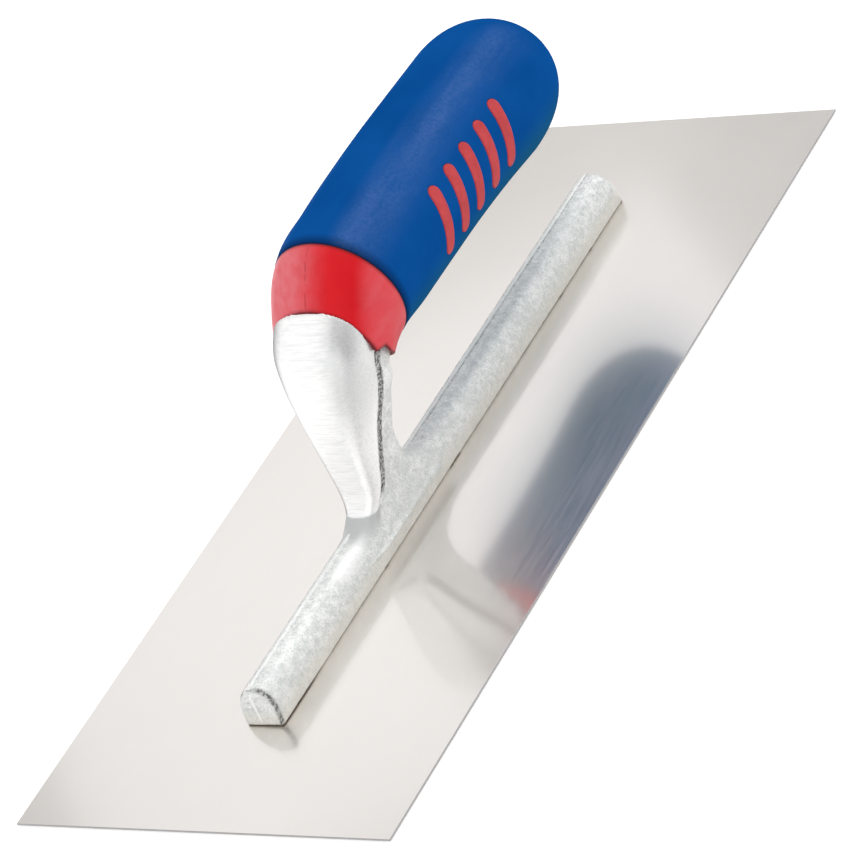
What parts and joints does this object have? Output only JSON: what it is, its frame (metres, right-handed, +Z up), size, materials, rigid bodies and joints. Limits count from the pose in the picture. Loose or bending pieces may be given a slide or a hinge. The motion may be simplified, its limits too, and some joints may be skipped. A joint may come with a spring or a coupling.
{
  "type": "finishing trowel",
  "caption": "Rectangular steel finishing trowel: flat thin blade, cast aluminium bar and gooseneck, red collar and blue soft-grip handle.",
  "frame": {"origin": "centre of the blade's working face, on the surface that the trowel rests on", "axes": "+Y along the blade from its toe to its heel, where the handle's round end is; +X to the right-hand side; +Z up from the working face to the handle"},
  "size_m": [0.115, 0.28, 0.0803],
  "materials": {
    "blade_steel": "fine ground and polished, blurred mirror",
    "cast_aluminium": "tumbled casting, linished on the front of the gooseneck",
    "rivet_steel": "ground flush",
    "bolt_steel": "zinc plated",
    "core_plastic": "satin moulded",
    "grip_rubber": "matte fine-grained soft grip"
  },
  "bodies": {
    "root": {"blade": "blade_steel", "mounting_casting": "cast_aluminium", "rivet_1": "rivet_steel", "rivet_2": "rivet_steel", "rivet_3": "rivet_steel", "rivet_4": "rivet_steel", "rivet_5": "rivet_steel", "rivet_6": "rivet_steel", "rivet_7": "rivet_steel", "rivet_8": "rivet_steel", "handle_core": "core_plastic", "soft_grip": "grip_rubber", "tang_bolt": "bolt_steel", "bolt_washer": "bolt_steel", "end_plug": "core_plastic"}
  },
  "joints": []
}
